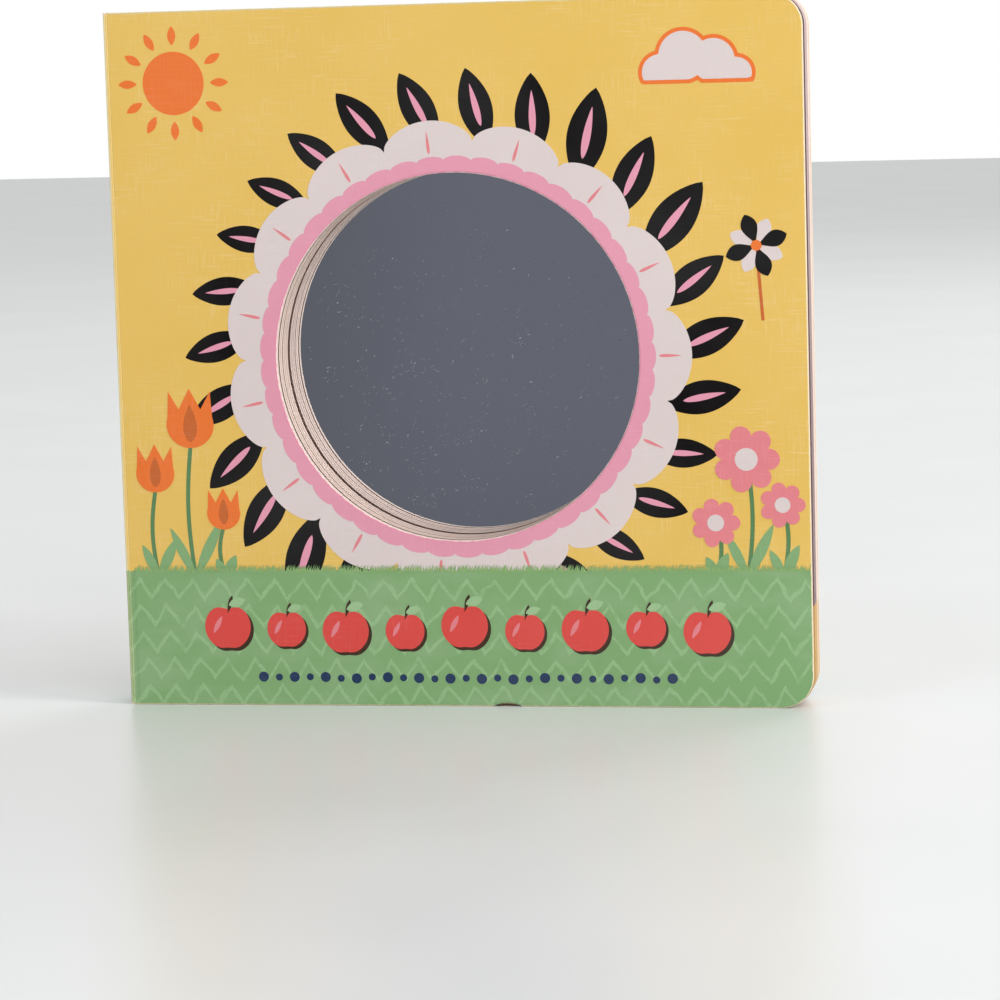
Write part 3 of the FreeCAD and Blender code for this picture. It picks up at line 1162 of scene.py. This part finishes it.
dust = dust_pattern()
mirror_centre = (window[0] * MM, (mirror_low.y - DUST_LIFT) * MM, window[1] * MM)
reach = (window_radius - BARE_RIM) * MM
for name, colour, density, flake, stretch, seed in (
        ("dust_fine", rgb(122, 126, 136), 190000.0, 0.3, 2.6, 4),
        ("dust_flakes", rgb(206, 208, 212), 22000.0, 0.22, 2.6, 9),
        ("dust_hairs", rgb(126, 130, 140), 36000.0, 0.1, 14.0, 15)):
    values = {"Radius": reach, "Centre": mirror_centre, "Density": density, "Flake": flake * MM,
              "Stretch": stretch, "Seed": seed}
    dust.bake(name, values, dust_finish(name, colour), "back", "mirror_sheet")

# %% [markdown]
# ## Creases
#
# The printed sheet runs unbroken over the crease between the spine and each cover, and folds there
# when a cover opens. A light line along the crease is a painted highlight, broken up by noise.

# %% Creases
CREASE_THICK = 0.06
CREASE_REACH = 0.42
CREASE_DIP = 0.1
DIP_WIDTH = 0.16
CREASE_LIFT = 0.012
CREASE_MARGIN = 0.3
CREASE_HIGHLIGHT = 0.24


def crease_finish():
    finish = Finish("crease_print")
    middle = (spine_high.x + cover_low.x) / 2
    off = abs(finish.x - middle)
    highlight_breaks = finish.fade(finish.noise((2.0, 2.0, 0.12), 3.0), 0.25, 0.6)
    # Painted highlight along the middle of the crease.
    lit = finish.inside(off, CREASE_HIGHLIGHT, CREASE_HIGHLIGHT) * (0.4 + highlight_breaks * 0.4)
    laminate(finish, finish.mix(lit * 0.34, field(finish), CREAM))
    return finish.material


crease_print = crease_finish()


def crease_strip(name, face, outward):
    """A thin closed strip over the crease, dipping into it."""
    left, right = spine_high.x - CREASE_REACH, cover_low.x + CREASE_REACH
    middle = (left + right) / 2
    places = [left + (right - left) * step / 16 for step in range(17)]
    dips = [CREASE_DIP * math.exp(-((x - middle) / DIP_WIDTH) ** 2) for x in places]
    outer = [(x, face + outward * (CREASE_LIFT - dip)) for x, dip in zip(places, dips)]
    section = outer + [(x, y - outward * CREASE_THICK) for x, y in outer[::-1]]
    run = cover_high.z - cover_low.z - 2 * CREASE_MARGIN
    levels = [cover_low.z + CREASE_MARGIN + run * step / 24 for step in range(25)]
    shape = bmesh.new()
    loft(shape, [[(x, y, z) for x, y in section] for z in levels], True)
    made = mesh_piece(name, mesh_of(name, shape), crease_print)
    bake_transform(made)


crease_strip("crease_front", spine_low.y, -1)
crease_strip("crease_back", spine_high.y, 1)

# %% [markdown]
# ## Floor, light and what the mirror sees
#
# The book stands on a pale satin floor under soft studio light. The plain dim room that the mirror
# shows is a painted reflection: a grey card that glows, though it is no lamp, stands in front of
# the book, with painted shade making it a little darker to the left and towards the floor. Only
# reflections see it: camera rays and shadows pass it by.

# %% Floor and card
def plain_sheet(name, corners, material):
    mesh = bpy.data.meshes.new(name)
    mesh.from_pydata(corners, [], [range(len(corners))])
    made = mesh_piece(name, mesh, material)
    return made


def floor_finish():
    finish = Finish("floor")
    soft = finish.noise((0.01, 0.01, 0.01), 2.0)
    finish.set("Base Color", finish.mix(soft, rgb(214, 217, 217), rgb(224, 226, 226)))
    finish.set("Roughness", 0.32)
    return finish.material


# Painted reflection: a glowing sheet seen only in reflections, with painted shade darker to the
# left and towards the floor.
def painted_reflection_card_finish():
    finish = Finish("grey_card")
    leftwards = finish.fade(finish.x, -150.0, -60.0)
    upwards = finish.fade(finish.z, -60.0, 60.0)
    finish.set("Base Color", (0.0, 0.0, 0.0))
    finish.set("Roughness", 1.0)
    finish.set("Specular IOR Level", 0.0)
    lit = leftwards * upwards
    finish.set("Emission Color", finish.mix(lit, (0.110, 0.117, 0.137), (0.134, 0.142, 0.174)))
    finish.set("Emission Strength", 1.0)
    return finish.material


FLOOR_REACH = 4.0
floor_corners = [(-FLOOR_REACH, -FLOOR_REACH, 0), (FLOOR_REACH, -FLOOR_REACH, 0),
                 (FLOOR_REACH, FLOOR_REACH, 0), (-FLOOR_REACH, FLOOR_REACH, 0)]
plain_sheet("floor", floor_corners, floor_finish())

CARD_PLACE = -0.34
card_corners = [(-1.2, CARD_PLACE, 0.001), (0.8, CARD_PLACE, 0.001),
                (0.8, CARD_PLACE, 0.9), (-1.2, CARD_PLACE, 0.9)]
reflection_card = plain_sheet("grey_card", card_corners, painted_reflection_card_finish())
reflection_card.visible_camera = False
reflection_card.visible_diffuse = False
reflection_card.visible_shadow = False
reflection_card.visible_transmission = False

# %% Light
def soft_light(name, place, size, power):
    data = bpy.data.lights.new(name, "AREA")
    data.shape = "SQUARE"
    data.size = size
    data.energy = power
    made = add_object(name, data)
    made.location = place
    towards_book = Vector((0, 0, 0.1)) - Vector(place)
    made.rotation_euler = towards_book.to_track_quat("-Z", "Y").to_euler()
    made.visible_glossy = False


soft_light("key", (0.9, -1.5, 1.5), 1.2, 13.5)
soft_light("fill", (-1.4, -1.2, 0.9), 1.4, 5)
soft_light("side", (1.5, -0.42, 0.85), 0.6, 18)
soft_light("rear", (0.6, 1.4, 1.3), 1.0, 10)


WORLD_LIGHT = 0.48


def studio_world():
    """Soft light on the book, and plain white where the camera or a reflection sees past it."""
    world = bpy.data.worlds.new("studio")
    bpy.context.scene.world = world
    world.use_nodes = True
    steps = Steps(world.node_tree)
    seen = steps.step("ShaderNodeLightPath", output="Is Camera Ray")
    for ray in ("Is Glossy Ray", "Is Transmission Ray"):
        seen = steps.math("MAXIMUM", seen, steps.step("ShaderNodeLightPath", output=ray))
    light = {"Value": seen, "To Min": WORLD_LIGHT, "To Max": 1.0}
    background = world.node_tree.nodes["Background"]
    steps.feed(background.inputs["Color"], (1.0, 1.0, 1.0))
    steps.feed(background.inputs["Strength"], steps.step("ShaderNodeMapRange", light))


studio_world()
bpy.context.scene.view_settings.view_transform = "Standard"
